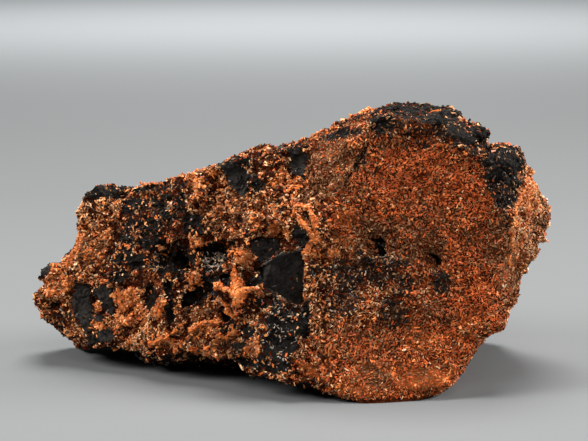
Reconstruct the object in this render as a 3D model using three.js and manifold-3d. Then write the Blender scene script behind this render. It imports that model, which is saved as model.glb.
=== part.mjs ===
// Realgar specimen: a broken lump of granular orange realgar grown through black rock, all one piece.
// Millimetres, +Z up. X runs along the lump, and its broad granular face looks towards -Y.
// The origin lies on the resting plane, under the middle of the lump's box.
import * as THREE from 'three';
import { ImprovedNoise } from 'three/addons/math/ImprovedNoise.js';
import { mergeVertices } from 'three/addons/utils/BufferGeometryUtils.js';
import Module from 'manifold-3d';

// Driving dimensions
const LENGTH = 120; // left tip to right side
const DEPTH = 66; // front foot to back
const HEIGHT = 64; // resting plane to peak
const HEART = new THREE.Vector3(0, 0, 31); // every ray that finds the surface starts here
const MESH_DETAIL = 20; // subdivisions of each icosahedron edge
const BISECTIONS = 24; // halvings in the search for a ray's end
const MERGE_WITHIN = 1e-5; // corners of the ball closer than this are one
const NEVER_MEETS = 1e-6; // a ray turned less than this towards a plane runs along it

// The silhouette is drawn as an eye sees it that looks along +Y from a little above
const EYE_RISE = THREE.MathUtils.degToRad(10);
const EYE_DISTANCE = 380; // eye to the point it aims at
const AIM = new THREE.Vector3(0.2, 0, 35.4);
const AIM_LEVEL = 42.7; // the aim point's height in the silhouette drawing
const OUTLINE_HEART = [0, 37];
const RIM_DEPTH = 8; // Y where the lump is widest
const TAPER_REACH = 28;
const BACK_TAPER = 0.1; // how much narrower the lump is at TAPER_REACH behind the rim
const TOP_TAPER = 0.18; // how much lower its top is at TAPER_REACH before the rim
const TOP_START = 8; // height above the outline's heart over which the top taper comes in

// Silhouette, [across, up], clockwise from the left tip. The bottom is left open to the resting plane.
const OUTLINE = [
  [-60.4, 24.5], [-59.3, 27.9], [-59.5, 30.2], [-56.6, 32.8], [-54.2, 32.8], [-50.1, 39.3],
  [-49.8, 46.1], [-47.7, 49.3], [-42.3, 51.3], [-39.8, 50.7], [-32.1, 51.2], [-24.0, 54.8],
  [-15.4, 57.8], [-10.9, 59.5], [-1.4, 60.9], [4.4, 63.0], [8.1, 64.8], [11.9, 67.0],
  [21.2, 70.4], [27.2, 70.3], [37.0, 69.6], [38.1, 67.7], [41.8, 65.9], [44.9, 63.8],
  [45.9, 62.3], [45.5, 60.0], [50.7, 60.7], [53.4, 59.2], [55.1, 53.1], [58.8, 49.5],
  [60.4, 45.0], [57.9, 38.5], [53.8, 29.9], [53.1, 25.6], [49.5, 21.9], [47.8, 16.6],
  [44.9, 15.5], [36.9, 3.7], [32.0, 1.4], [20.0, -0.8], [16.0, -22.0], [-42.0, -22.0],
  [-49.4, 10.6], [-51.0, 13.2], [-56.8, 18.2],
];

// Fracture planes that bound the whole lump: outward normal, and a point on the plane
const FRACTURES = [
  { name: 'broad_front', normal: [0.05, -0.966, 0.25], point: [17.5, -28.8, 0] },
  { name: 'left_front', normal: [-0.457, -0.867, 0.199], point: [1.5, -22.9, 30.6] },
  { name: 'upper_left', normal: [-0.37, -0.79, 0.49], point: [11.4, -18.3, 46.5] },
  { name: 'right_side', normal: [0.888, -0.458, -0.022], point: [51.1, -14.2, 53.6] },
  { name: 'top_back', normal: [-0.08, 0.42, 0.9], point: [10, 16, 58] },
  { name: 'back', normal: [0.06, 0.97, 0.2], point: [10, 33, 22] },
  { name: 'back_left', normal: [-0.4, 0.9, 0.15], point: [-36, 27, 22] },
  { name: 'back_right', normal: [0.7, 0.7, 0.1], point: [45, 25, 30] },
  { name: 'back_under', normal: [-0.05, 0.62, -0.78], point: [0, 25, 3] },
];

// Chips broken out of one place each: a plane that only cuts within reach of its centre
const CHIP_CORE = 0.6; // share of the reach within which a chip cuts in full
const CHIPS = [
  { name: 'shoulder', normal: [-0.55, -0.55, 0.62], point: [8, -15, 50], centre: [9, -16, 52], reach: 15 },
  { name: 'hollow', normal: [-0.72, -0.62, 0.3], point: [-2, -18, 30], centre: [-3, -20, 30], reach: 10 },
  { name: 'right_step', normal: [0.93, 0.1, 0.35], point: [52, 6, 20], centre: [55, 2, 20], reach: 11 },
  { name: 'back_ledge', normal: [0.25, 0.7, 0.67], point: [20, 24, 44], centre: [24, 27, 44], reach: 17 },
  { name: 'back_scoop', normal: [-0.3, 0.85, -0.43], point: [-12, 27, 14], centre: [-14, 31, 12], reach: 16 },
  { name: 'left_ledge', normal: [-0.45, 0.6, 0.66], point: [-34, 20, 36], centre: [-36, 22, 38], reach: 13 },
];

// The lump stands on the part of its underside behind the lines between these points, from the front to
// the back. Before each line the underside slopes up, and it sinks again below the tail.
const FEET = [[16, -29], [-4, -4], [-28.5, 0], [-38, 14]];
const FOOT_SLOPES = [0.31, 0.5, 0.35]; // rise over run, before each line
const TAIL_SINK = [-56, -42]; // X of the tail where the lift is lost, and of where it is whole
const FOOT_ALLOWANCE = 3; // left below the resting plane, until the foot is cut flat

// Lumps (positive rise) and pits (negative) of the front: where they show in the silhouette drawing,
// their half sizes, their turn in degrees, and how far they rise
const FRONT_RELIEF = [
  { name: 'vein_knot', at: [-12.8, 25.4], half: [8, 6], turn: 20, rise: 3 },
  { name: 'ridge_rim', at: [4.4, 44], half: [3.5, 7], turn: 10, rise: 1.6 },
  { name: 'upper_lump', at: [-22.6, 50.2], half: [4.5, 4.5], turn: 0, rise: 1.8 },
  { name: 'dark_shoulder', at: [-4.2, 16], half: [7, 10], turn: 10, rise: 2.4 },
  { name: 'lower_lump', at: [-28.6, 21.5], half: [7, 6], turn: 0, rise: 1.8 },
  { name: 'tail_bulge', at: [-54, 24], half: [5, 7], turn: -20, rise: 1.6 },
  { name: 'foot_bulge', at: [16, 4], half: [12, 5], turn: 0, rise: 1.2 },
  { name: 'left_hole', at: [-30, 34.2], half: [3.4, 3.4], turn: 0, rise: -2.6 },
  { name: 'second_hole', at: [-25.8, 34], half: [3.4, 4.6], turn: 0, rise: -2.6 },
  { name: 'low_hollow', at: [-22.8, 25], half: [4, 4], turn: 30, rise: -2.6 },
  { name: 'vein_hollow', at: [-9.3, 30], half: [4.5, 4], turn: 0, rise: -2 },
  { name: 'mid_hollow', at: [-18, 34.6], half: [5.5, 3.6], turn: 0, rise: -2.6 },
  { name: 'lip_pit', at: [20.5, 37.2], half: [5, 3], turn: 5, rise: -2 },
  { name: 'small_pit', at: [33, 34], half: [3, 3], turn: 0, rise: -1.6 },
  { name: 'face_hollow', at: [13, 30], half: [12, 9], turn: 20, rise: -1.2 },
];

// Broken rock: rounded roughness as [wavelength, height] pairs, and blocks that stand above or below
// each other
const ROUGHNESS = [[17, 1.0], [8, 0.7], [4.5, 0.45]];
const ROUGH_BIAS = -0.6; // keeps the roughest points about on the drawn silhouette
const LAYER_SHIFT = 13.7; // moves each layer of roughness to its own part of the noise
const BLOCK_SIZE = 11;
const BLOCK_STEP = 0.9;
const FACE_BLOCK_SHARE = 0.35; // of the step that is left on the broad front face
const ROUGH_FADE = 6; // height above the resting plane over which the roughness comes in

const FRONT_FACING = -0.3; // a surface whose normal's Y is below this takes the front relief
const BROAD_FACING = 0.95; // cosine to the broad face's normal within which a surface belongs to it

const noise = new ImprovedNoise();
const broadNormal = new THREE.Vector3(...FRACTURES[0].normal).normalize();
const eyeForward = new THREE.Vector3(0, Math.cos(EYE_RISE), -Math.sin(EYE_RISE));
const eyeUp = new THREE.Vector3(0, Math.sin(EYE_RISE), Math.cos(EYE_RISE));

// Where the eye sees a point, in the silhouette drawing
function sight(point) {
  const offset = point.clone().sub(AIM);
  const scale = EYE_DISTANCE / (EYE_DISTANCE + offset.dot(eyeForward));
  return [AIM.x + offset.x * scale, AIM_LEVEL + offset.dot(eyeUp) * scale];
}

// Distance from the outline's heart to its edge, in the direction of an angle
const outlineCorners = OUTLINE.map(([x, h]) => [x - OUTLINE_HEART[0], h - OUTLINE_HEART[1]]);
function outlineRadius(angle) {
  const dx = Math.cos(angle);
  const dh = Math.sin(angle);
  let found = Infinity;
  outlineCorners.forEach(([ax, ah], i) => {
    const [bx, bh] = outlineCorners[(i + 1) % outlineCorners.length];
    const cross = dx * (bh - ah) - dh * (bx - ax);
    const along = (dx * -ah - dh * -ax) / cross;
    const distance = (ax * (bh - ah) - ah * (bx - ax)) / cross;
    if (along >= 0 && along <= 1 && distance > 0) found = Math.min(found, distance);
  });
  return found;
}

// Positive where a point lies outside the silhouette, which narrows behind the rim, and drops at the top
// before it
function outsideOutline(point) {
  const [x, h] = sight(point);
  const away = ((point.y - RIM_DEPTH) / TAPER_REACH) ** 2;
  const rising = THREE.MathUtils.smoothstep(h - OUTLINE_HEART[1], 0, TOP_START);
  const taper = 1 - away * (point.y > RIM_DEPTH ? BACK_TAPER : TOP_TAPER * rising);
  const dx = (x - OUTLINE_HEART[0]) / taper;
  const dh = (h - OUTLINE_HEART[1]) / taper;
  return Math.hypot(dx, dh) - outlineRadius(Math.atan2(dh, dx));
}

// How far a point lies before the line from one foot to the next
function beforeLine(point, from, to) {
  const run = [to[0] - from[0], to[1] - from[1]];
  return ((point.y - from[1]) * run[0] - (point.x - from[0]) * run[1]) / Math.hypot(...run);
}

// Positive where a point lies below the underside. The second foot is a hollow corner, the third stands out.
function belowUnderside(point) {
  const lifts = FOOT_SLOPES.map((slope, i) => slope * beforeLine(point, FEET[i], FEET[i + 1]));
  const lift = Math.max(Math.min(lifts[0], lifts[1]), lifts[2], -FOOT_ALLOWANCE);
  const kept = lift > 0 ? THREE.MathUtils.smoothstep(point.x, ...TAIL_SINK) : 1;
  return lift * kept - point.z;
}

// Distance along a ray from the heart to a plane, or Infinity if it never meets it
function reachPlane(ray, { normal, point }) {
  const n = new THREE.Vector3(...normal).normalize();
  const facing = n.dot(ray);
  if (facing < NEVER_MEETS) return Infinity;
  return n.dot(new THREE.Vector3(...point).sub(HEART)) / facing;
}

// Distance along a ray to where it leaves the silhouette or the underside, at most far
function reachSkin(ray, far) {
  const outside = (distance) => {
    const point = HEART.clone().addScaledVector(ray, distance);
    return Math.max(outsideOutline(point), belowUnderside(point)) > 0;
  };
  if (!outside(far)) return far;
  let low = 0;
  let high = far;
  for (let step = 0; step < BISECTIONS; step += 1) {
    const middle = (low + high) / 2;
    if (outside(middle)) high = middle;
    else low = middle;
  }
  return low;
}

// Distance along a ray once the chips have shortened it
function chipped(ray, radius) {
  return CHIPS.reduce((r, chip) => {
    const p = HEART.clone().addScaledVector(ray, r);
    const away = p.distanceTo(new THREE.Vector3(...chip.centre));
    const weight = 1 - THREE.MathUtils.smoothstep(away, chip.reach * CHIP_CORE, chip.reach);
    const cut = Math.min(r, reachPlane(ray, chip));
    return r + (cut - r) * weight;
  }, radius);
}

// How far the lumps and pits of the front move a point outwards
function frontRelief(point) {
  const [x, h] = sight(point);
  return FRONT_RELIEF.reduce((sum, { at, half, turn, rise }) => {
    const angle = THREE.MathUtils.degToRad(turn);
    const dx = x - at[0];
    const dh = h - at[1];
    const u = (dx * Math.cos(angle) + dh * Math.sin(angle)) / half[0];
    const v = (dh * Math.cos(angle) - dx * Math.sin(angle)) / half[1];
    const share = Math.max(0, 1 - u * u - v * v);
    return sum + rise * share * (2 - share);
  }, 0);
}

// A repeatable number from 0 to 1 for a cell of the rock, different for each use
function hash(i, j, k, use) {
  const wave = Math.sin(i * 127.1 + j * 311.7 + k * 74.7 + use * 19.3) * 43758.5453;
  return wave - Math.floor(wave);
}

// The step of the block that a point belongs to: the one with the nearest of the scattered block middles
function blockStep(point) {
  const p = point.clone().divideScalar(BLOCK_SIZE);
  const cell = p.clone().floor();
  let nearest = Infinity;
  let step = 0;
  for (let i = cell.x - 1; i <= cell.x + 1; i += 1) {
    for (let j = cell.y - 1; j <= cell.y + 1; j += 1) {
      for (let k = cell.z - 1; k <= cell.z + 1; k += 1) {
        const middle = new THREE.Vector3(i + hash(i, j, k, 0), j + hash(i, j, k, 1), k + hash(i, j, k, 2));
        const away = middle.distanceTo(p);
        if (away < nearest) {
          nearest = away;
          step = BLOCK_STEP * (2 * hash(i, j, k, 3) - 1);
        }
      }
    }
  }
  return step;
}

// Height of the broken rock's roughness at a point, fading out at the foot
function roughness(point, onBroadFace) {
  const rounded = ROUGHNESS.reduce((sum, [wavelength, height], i) => {
    const p = point.clone().divideScalar(wavelength).addScalar(LAYER_SHIFT * i);
    return sum + height * noise.noise(p.x, p.y, p.z);
  }, 0);
  const blocks = blockStep(point) * (onBroadFace ? FACE_BLOCK_SHARE : 1);
  return (rounded + blocks + ROUGH_BIAS) * THREE.MathUtils.smoothstep(point.z, 0, ROUGH_FADE);
}

// The lump with plane breaks and no roughness: each corner of a ball moves out to the surface
function plainLump() {
  const ball = new THREE.IcosahedronGeometry(1, MESH_DETAIL);
  ball.deleteAttribute('normal');
  ball.deleteAttribute('uv');
  const lump = mergeVertices(ball, MERGE_WITHIN);
  const position = lump.attributes.position;
  const ray = new THREE.Vector3();
  for (let i = 0; i < position.count; i += 1) {
    ray.fromBufferAttribute(position, i).multiply(new THREE.Vector3(LENGTH, DEPTH, HEIGHT)).normalize();
    const nearest = Math.min(...FRACTURES.map((plane) => reachPlane(ray, plane)), LENGTH);
    const radius = chipped(ray, reachSkin(ray, nearest));
    position.setXYZ(i, ...HEART.clone().addScaledVector(ray, radius).toArray());
  }
  return lump;
}

// Each corner of the plain lump moves along its normal by the relief and roughness there
function roughened(lump) {
  lump.computeVertexNormals();
  const { position, normal } = lump.attributes;
  for (let i = 0; i < position.count; i += 1) {
    const point = new THREE.Vector3().fromBufferAttribute(position, i);
    const out = new THREE.Vector3().fromBufferAttribute(normal, i);
    const relief = out.y < FRONT_FACING ? frontRelief(point) : 0;
    const onBroadFace = out.dot(broadNormal) > BROAD_FACING;
    position.setXYZ(i, ...point.addScaledVector(out, relief + roughness(point, onBroadFace)).toArray());
  }
  lump.deleteAttribute('normal');
  return lump;
}

const wasm = await Module();
wasm.setup();

// A closed geometry as a solid that can be cut, and back
function toSolid(geometry) {
  return new wasm.Manifold(new wasm.Mesh({
    numProp: 3,
    vertProperties: new Float32Array(geometry.attributes.position.array),
    triVerts: new Uint32Array(geometry.index.array),
  }));
}

function toGeometry(solid) {
  const { vertProperties, triVerts } = solid.getMesh();
  const geometry = new THREE.BufferGeometry();
  geometry.setAttribute('position', new THREE.BufferAttribute(new Float32Array(vertProperties), 3));
  geometry.setIndex(new THREE.BufferAttribute(new Uint32Array(triVerts), 1));
  geometry.computeVertexNormals();
  return geometry;
}

// Everything below the resting plane is cut away, which leaves one flat foot
function cutFoot(lump) {
  const block = new THREE.BoxGeometry(2 * LENGTH, 2 * DEPTH, HEIGHT);
  block.translate(0, 0, -HEIGHT / 2);
  block.deleteAttribute('normal');
  block.deleteAttribute('uv');
  return toGeometry(toSolid(lump).subtract(toSolid(mergeVertices(block))));
}

// Centres the lump's box over the origin
function centred(geometry) {
  geometry.computeBoundingBox();
  const middle = geometry.boundingBox.getCenter(new THREE.Vector3());
  return geometry.translate(-middle.x, -middle.y, 0);
}

const realgar = new THREE.Mesh(
  centred(cutFoot(roughened(plainLump()))),
  new THREE.MeshStandardMaterial({ color: 0x8a4a2a, roughness: 0.8, metalness: 0 }),
);
realgar.name = 'realgar_lump';

const specimen = new THREE.Group();
specimen.add(realgar);
export default specimen;
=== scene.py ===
# %% [markdown]
# # A realgar specimen
# The real object is one broken lump: orange-red realgar grains, a millimetre or less across, grown through
# dull black rock. Its outer form is already a solid, so this lesson loads that solid as a fixed frame and
# gives it the surface that a hand lens would show. Nothing here moves or resizes the solid.

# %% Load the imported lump
import math

import bmesh
import bpy
import numpy as np
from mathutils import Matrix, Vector, noise


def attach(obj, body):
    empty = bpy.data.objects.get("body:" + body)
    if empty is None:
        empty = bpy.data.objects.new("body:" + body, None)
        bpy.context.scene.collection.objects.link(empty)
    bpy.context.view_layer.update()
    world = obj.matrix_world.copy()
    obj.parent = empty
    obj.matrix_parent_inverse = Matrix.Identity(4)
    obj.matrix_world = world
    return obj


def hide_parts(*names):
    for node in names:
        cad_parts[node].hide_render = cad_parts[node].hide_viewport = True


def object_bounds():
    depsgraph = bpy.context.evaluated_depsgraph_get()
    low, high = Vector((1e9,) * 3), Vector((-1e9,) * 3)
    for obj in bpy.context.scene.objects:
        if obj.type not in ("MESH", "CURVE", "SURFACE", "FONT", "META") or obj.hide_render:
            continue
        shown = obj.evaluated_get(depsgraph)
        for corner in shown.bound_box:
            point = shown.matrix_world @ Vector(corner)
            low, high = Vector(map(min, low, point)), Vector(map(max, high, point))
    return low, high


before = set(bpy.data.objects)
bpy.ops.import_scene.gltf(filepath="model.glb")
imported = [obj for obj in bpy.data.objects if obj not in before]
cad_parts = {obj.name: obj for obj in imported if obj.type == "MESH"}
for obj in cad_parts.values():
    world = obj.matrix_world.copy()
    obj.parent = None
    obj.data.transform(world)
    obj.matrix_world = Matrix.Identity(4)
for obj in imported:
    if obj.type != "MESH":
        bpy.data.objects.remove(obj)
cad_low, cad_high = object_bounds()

MM = 0.001
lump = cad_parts["realgar_lump"]
print("lump", len(lump.data.polygons), "faces, box in mm", [round(v / MM, 1) for v in cad_high - cad_low])

# %% [markdown]
# ## The camera
# The photograph looks at the broad face from a little above, from about three lump lengths away. A long lens
# keeps the proportions calm. The same numbers give a small `sight` function: it tells where the camera sees
# a point in a 588 by 441 picture, so that a patch or a pit can be put where the real one shows.

# %% Camera
PICTURE = (588, 441)
EYE_RISE = math.radians(10)
EYE_DISTANCE = 380 * MM
AIM = Vector((1.24, -3.08, 35.4)) * MM
LENS_MM = 100
SENSOR_MM = 36
eye_forward = Vector((0, math.cos(EYE_RISE), -math.sin(EYE_RISE)))
eye_up = Vector((0, math.sin(EYE_RISE), math.cos(EYE_RISE)))
eye = AIM - eye_forward * EYE_DISTANCE

camera_data = bpy.data.cameras.new("photo_camera")
camera_data.lens = LENS_MM
camera_data.sensor_width = SENSOR_MM
camera_data.clip_start = 10 * MM
camera = bpy.data.objects.new("photo_camera", camera_data)
camera.location = eye
camera.rotation_euler = (math.pi / 2 - EYE_RISE, 0, 0)
bpy.context.scene.collection.objects.link(camera)
bpy.context.scene.camera = camera


def sight(points):
    """Picture column and row where the camera sees each point."""
    offset = points - np.array(eye)
    depth = offset @ np.array(eye_forward)
    pixels = LENS_MM / SENSOR_MM * PICTURE[0] / depth
    column = PICTURE[0] / 2 + offset[:, 0] * pixels
    row = PICTURE[1] / 2 - offset @ np.array(eye_up) * pixels
    return column, row


print("eye in mm", [round(v / MM, 1) for v in eye])

# %% [markdown]
# ## Where each mineral lies
# On the real lump the orange, red, brown and black parts are patches with ragged edges. Painting an image
# would do, but a list of named soft ellipses is easier to read and change. Each patch belongs to a kind of
# mineral, and a little noise frays its edge. Some patches are partly painted light and shade: black ones put
# shade in hollows and under the lump, bright and peach ones put light where the lump is lit. Where the camera
# can't see the surface, plain noise with patches of the same size takes over, so that the back looks like
# the front.

# %% Black rock and painted shade on the front
# In all the lists of patches, name: (column, row), (half width, half height), turn in degrees, strength
# Black rock, and painted shade: most patches named shade or gap, and the dark ones at the foot and in the
# notch, put black where hollows, pits and the overhang lie in shade.
BLACK_AND_SHADE_PATCHES = {
    "tail_shade": ((60, 322), (8, 18), 20, 0.35),
    "top_left_block": ((103, 191), (22, 8), 0, 0.9),
    "upper_shade": ((163, 208), (22, 14), 10, 0.7),
    "shoulder_strip": ((340, 133), (19, 6), -15, 0.9),
    "ridge_shade": ((359, 161), (13, 5), -55, 0.5),
    "peak_shade": ((382, 118), (13, 17), 20, 0.75),
    "peak_black": ((425, 110), (46, 11), 6, 0.88),
    "peak_mottle": ((412, 128), (30, 14), 0, 0.38),
    "right_block": ((464, 130), (30, 20), 30, 0.9),
    "right_block_edge": ((482, 130), (14, 22), -10, 0.9),
    "corner_block": ((503, 166), (20, 25), 0, 0.9),
    "corner_tail": ((506, 197), (14, 13), 0, 0.7),
    "low_dark": ((280, 335), (18, 36), 8, 0.85),
    "low_dark_edge": ((303, 322), (7, 19), 8, 0.9),
    "hole_shade": ((172, 262), (22, 16), 0, 0.75),
    "middle_shade": ((213, 258), (17, 16), 0, 0.9),
    "vein_shade": ((208, 284), (14, 14), 20, 0.9),
    "low_shade": ((191, 300), (11, 8), 0, 0.9),
    "stroke_shade": ((168, 305), (6, 24), 0, 0.9),
    "left_shade": ((121, 255), (15, 10), -20, 0.7),
    "upper_mottle": ((148, 226), (20, 12), 0, 0.7),
    "mottle_right": ((192, 226), (11, 14), 0, 0.9),
    "small_shade": ((149, 297), (7, 12), 0, 0.9),
    "rim_shade": ((300, 235), (8, 13), 0, 1.0),
    "star_gap_left": ((218, 282), (11, 8), 0, 1.0),
    "star_gap_right": ((258, 280), (11, 7), 10, 1.2),
    "star_gap_top": ((242, 282), (5, 6), 0, 0.9),
    "star_gap_low": ((227, 312), (7, 4), -40, 0.8),
    "face_speckle": ((366, 270), (40, 19), -6, 0.54),
    "face_dark": ((403, 286), (11, 16), 0, 0.5),
    "face_dark_low": ((394, 314), (15, 16), -20, 0.5),
    "face_dark_high": ((424, 144), (10, 6), 0, 0.42),
    "lip_shade": ((381, 246), (7, 6), 0, 0.9),
    "notch_dark": ((242, 362), (9, 6), 0, 1.0),
    "low_gap": ((228, 318), (10, 7), -20, 0.9),
    "left_gap": ((137, 262), (10, 9), 0, 0.9),
    "top_edge": ((150, 187), (42, 5), -4, 0.75),
    "top_edge_right": ((262, 160), (24, 3), -18, 0.25),
    "brow_edge": ((296, 146), (16, 3), -8, 0.7),
    "strip_gap": ((541, 222), (3, 9), 10, 0.55),
    "upper_left_shade": ((131, 206), (13, 9), 0, 0.75),
    "low_gap_right": ((240, 347), (8, 6), 0, 0.75),
    "left_foot_shade": ((92, 341), (9, 7), 0, 0.9),
    "middle_left_shade": ((149, 243), (10, 8), 0, 0.9),
    "low_foot_dark": ((258, 362), (13, 9), 10, 0.9),
    "left_upper_gap": ((116, 277), (12, 9), 0, 0.75),
    "face_dark_left": ((345, 284), (16, 26), 0, 0.42),
    "low_gap_high": ((249, 333), (8, 7), 0, 0.8),
    "face_dark_right": ((441, 281), (9, 13), 0, 0.55),
    "left_middle_shade": ((127, 237), (11, 9), 0, 0.65),
    "low_gap_left": ((230, 327), (10, 6), -10, 0.8),
    "upper_right_shade": ((254, 182), (7, 10), -15, 0.8),
    "top_edge_upper": ((232, 162), (17, 5), -12, 1.0),
    "low_dark_foot": ((278, 366), (13, 9), 0, 0.9),
    "grey_right": ((505, 223), (8, 18), 0, 0.42),
    "grey_foot": ((377, 378), (12, 10), 0, 0.4),
    "face_dark_low_left": ((342, 303), (20, 15), 0, 0.44),
    "low_gap_foot": ((213, 349), (12, 6), 0, 0.5),
    "star_gap_high": ((227, 275), (6, 5), 0, 0.95),
    "upper_gap": ((182, 199), (7, 8), 0, 0.8),
    "upper_middle_gap": ((248, 233), (7, 6), 0, 0.6),
    "face_dark_left_high": ((315, 272), (6, 12), 0, 0.55),
    "star_gap_foot": ((263, 304), (8, 5), 20, 0.9),
    "shoulder_edge": ((351, 117), (17, 4), -22, 0.55),
    "corner_edge": ((505, 149), (16, 7), 5, 0.9),
}
print("black patches", len(BLACK_AND_SHADE_PATCHES))

# %% Bright orange and painted light on the front
# Vivid orange realgar, and painted light: the glows, tail_slope, low_edge and base_edge make the lump lighter
# where it is lit, and where light from below is missing.
BRIGHT_AND_LIT_PATCHES = {
    "tail_slope": ((68, 250), (10, 22), 30, 1.0),
    "tail_glow": ((58, 281), (13, 14), 0, 0.75),
    "left_ring": ((95, 240), (18, 22), 0, 0.6),
    "left_patch_heart": ((95, 308), (5, 7), 20, 1.4),
    "left_patch_rim": ((97, 325), (9, 4), 10, 1.0),
    "left_low": ((128, 307), (16, 22), 0, 1.0),
    "flame": ((160, 307), (5, 15), 10, 1.2),
    "low_edge": ((168, 344), (16, 7), 0, 0.9),
    "upper_lump": ((195, 188), (8, 11), -20, 0.9),
    "middle_lump": ((197, 243), (10, 9), 10, 0.9),
    "middle_knob": ((195, 279), (8, 8), 0, 1.4),
    "vein_knot": ((239, 298), (8, 9), 20, 1.2),
    "vein_top": ((245, 259), (9, 9), 30, 1.4),
    "low_flames": ((208, 329), (26, 9), -15, 0.6),
    "upper_grains": ((222, 205), (12, 10), 0, 0.3),
    "shoulder_grains": ((268, 208), (20, 18), 0, 0.35),
    "rim": ((316, 234), (5, 17), 5, 1.1),
    "rim_foot": ((327, 253), (18, 6), -8, 1.1),
    "base_band": ((395, 378), (85, 22), -4, 0.6),
    "low_glow": ((253, 347), (7, 11), 10, 1.0),
    "facet_brow": ((277, 232), (12, 7), -10, 1.3),
    "shoulder_lumps": ((288, 181), (17, 8), 0, 0.9),
    "base_glow": ((430, 379), (28, 10), -8, 1.1),
    "left_red_glow": ((344, 219), (11, 12), 0, 0.7),
    "crack_glow": ((343, 241), (14, 6), -6, 0.7),
    "edge_glow": ((325, 290), (7, 14), 0, 0.45),
    "face_glow": ((413, 333), (14, 10), 0, 0.6),
    "low_rim": ((198, 354), (22, 5), 4, 1.0),
    "middle_glow": ((460, 238), (12, 9), 0, 0.5),
    "brow_glow": ((261, 222), (12, 8), 0, 0.8),
    "field_left": ((381, 207), (17, 14), -10, 0.5),
    "field_spot": ((340, 203), (9, 11), 15, 0.5),
    "field_top": ((459, 166), (15, 14), 0, 0.5),
    "field_top_spot": ((443, 143), (7, 6), 0, 0.6),
    "field_right": ((458, 217), (8, 13), 0, 0.5),
    "field_low": ((428, 346), (27, 15), -5, 0.6),
    "field_low_left": ((371, 325), (18, 14), -20, 0.5),
    "field_corner": ((324, 357), (14, 10), 0, 0.7),
    "field_edge": ((472, 325), (12, 12), 0, 0.6),
    "field_foot": ((309, 369), (12, 8), 0, 0.8),
    "upper_glow": ((211, 180), (10, 9), 0, 0.6),
    "base_edge": ((350, 388), (22, 6), 4, 0.8),
    "strip_glow": ((532, 193), (6, 25), 5, 1.0),
    "field_top_left": ((357, 148), (9, 9), 30, 0.6),
    "strip_glow_low": ((521, 260), (8, 18), 12, 0.6),
}
print("bright patches", len(BRIGHT_AND_LIT_PATCHES))

# %% Red, brown, peach and pale patches of the front
RED_PATCHES = {
    "red_field": ((428, 188), (68, 44), 10, 1.1),
    "red_left": ((342, 212), (16, 20), 20, 1.1),
    "red_right": ((474, 288), (30, 50), 0, 0.6),
    "red_base": ((395, 360), (90, 32), -4, 1.0),
    # Painted shade, in part: star_red makes the star's lower body deep red where it lies in shade.
    "star_red": ((239, 304), (7, 9), 10, 1.2),
    "red_middle": ((462, 238), (18, 14), 0, 0.9),
    "field_left_red": ((383, 207), (20, 17), -10, 1.2),
    "field_far": ((478, 277), (17, 17), 0, 1.1),
}
BROWN_PATCHES = {
    "rosette_heart": ((89, 250), (12, 12), 0, 1.6),
    "brown_middle": ((405, 236), (56, 22), -6, 1.0),
    "brown_low": ((360, 335), (50, 26), 0, 0.5),
    "brown_ridge": ((333, 172), (26, 36), 30, 0.9),
    "upper_brown": ((232, 212), (42, 15), -12, 1.0),
    "low_brown": ((224, 347), (26, 12), 5, 1.2),
    "strip_low": ((514, 276), (12, 26), 15, 1.2),
    "low_brown_left": ((196, 312), (10, 6), 0, 1.2),
    "grey_middle": ((423, 222), (24, 17), -10, 1.4),
    "grey_low": ((376, 372), (14, 17), 0, 1.4),
    "brown_right": ((499, 238), (14, 28), 0, 1.2),
}
# Peach grains are partly painted highlights. right_strip is partly painted light from the right, and
# shoulder_face partly painted light from above.
PEACH_PATCHES = {
    "shoulder_face": ((342, 168), (26, 40), 30, 0.2),
    "left_peach": ((93, 210), (14, 16), 0, 0.9),
    "right_strip": ((540, 232), (14, 90), 8, 1.2),
    "speckle_tan": ((352, 290), (46, 40), 0, 0.3),
    "upper_tan": ((240, 212), (60, 22), -12, 0.12),
    "left_tan": ((140, 322), (22, 16), 0, 0.3),
    "edge_tan": ((324, 290), (9, 18), 0, 1.2),
    "lump_peach": ((246, 262), (8, 9), 20, 1.1),
    "crack_tan": ((358, 242), (18, 6), -4, 0.9),
    "cluster_peach": ((211, 264), (8, 6), 0, 1.0),
}
# Painted glints: the patches named glints and sparkle put pale grains where the lump glints.
PALE_PATCHES = {
    "pale_cluster": ((212, 263), (11, 8), 0, 2.2),
    "face_pale": ((391, 256), (12, 6), -10, 0.6),
    "flake": ((169, 205), (2, 4), 30, 1.5),
    "glints": ((158, 263), (6, 10), 0, 0.4),
    "low_sparkle": ((273, 335), (22, 36), 0, 0.16),
    "facet_sparkle": ((285, 304), (18, 6), 30, 0.35),
    "speckle_pale": ((345, 290), (42, 40), 0, 0.06),
    "block_specks": ((506, 180), (14, 26), 0, 0.04),
}
FRONT_PATCHES = {
    "black": BLACK_AND_SHADE_PATCHES,
    "bright": BRIGHT_AND_LIT_PATCHES,
    "red": RED_PATCHES,
    "brown": BROWN_PATCHES,
    "peach": PEACH_PATCHES,
    "pale": PALE_PATCHES,
}
KINDS = tuple(FRONT_PATCHES)
print("patches in all", sum(len(patches) for patches in FRONT_PATCHES.values()))

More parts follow.
